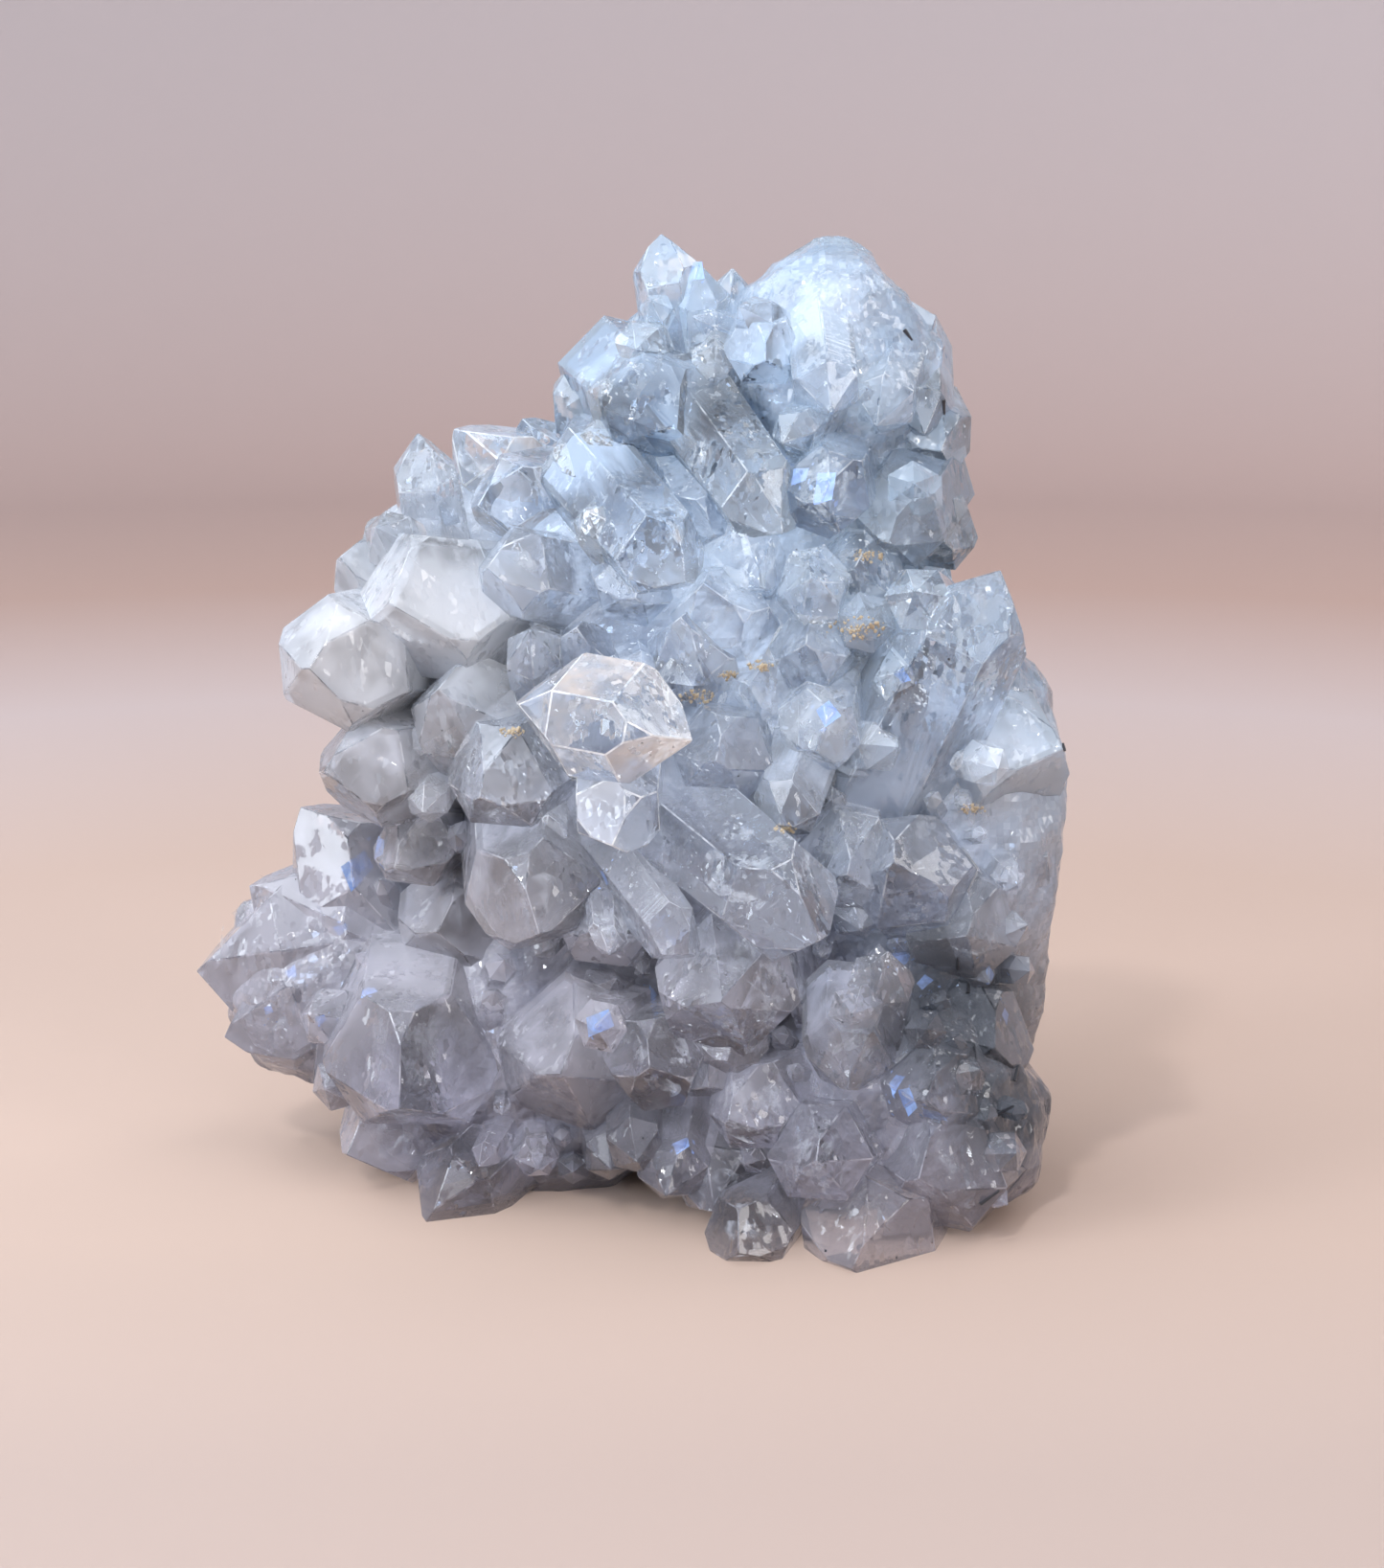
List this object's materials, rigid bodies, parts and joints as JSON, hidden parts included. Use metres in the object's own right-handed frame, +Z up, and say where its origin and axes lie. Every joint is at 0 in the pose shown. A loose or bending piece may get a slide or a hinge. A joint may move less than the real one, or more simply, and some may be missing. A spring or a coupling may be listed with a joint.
{
  "type": "quartz cluster",
  "caption": "Cluster of clear to milky quartz: stout six-sided crystals grown together over the front of one milky mass that stands on its broken foot.",
  "frame": {"origin": "on the surface it stands on, under the middle of the cluster's box", "axes": "+Z up, along its height; -Y the way the crystals face; +X to the right, seen from the crystals' side"},
  "size_m": [0.0956, 0.0643, 0.1024],
  "materials": {
    "quartz": "clear to milky quartz, glossy on crystal faces and frosted on the broken mass"
  },
  "bodies": {
    "root": {"quartz_cluster": "quartz"}
  },
  "joints": []
}
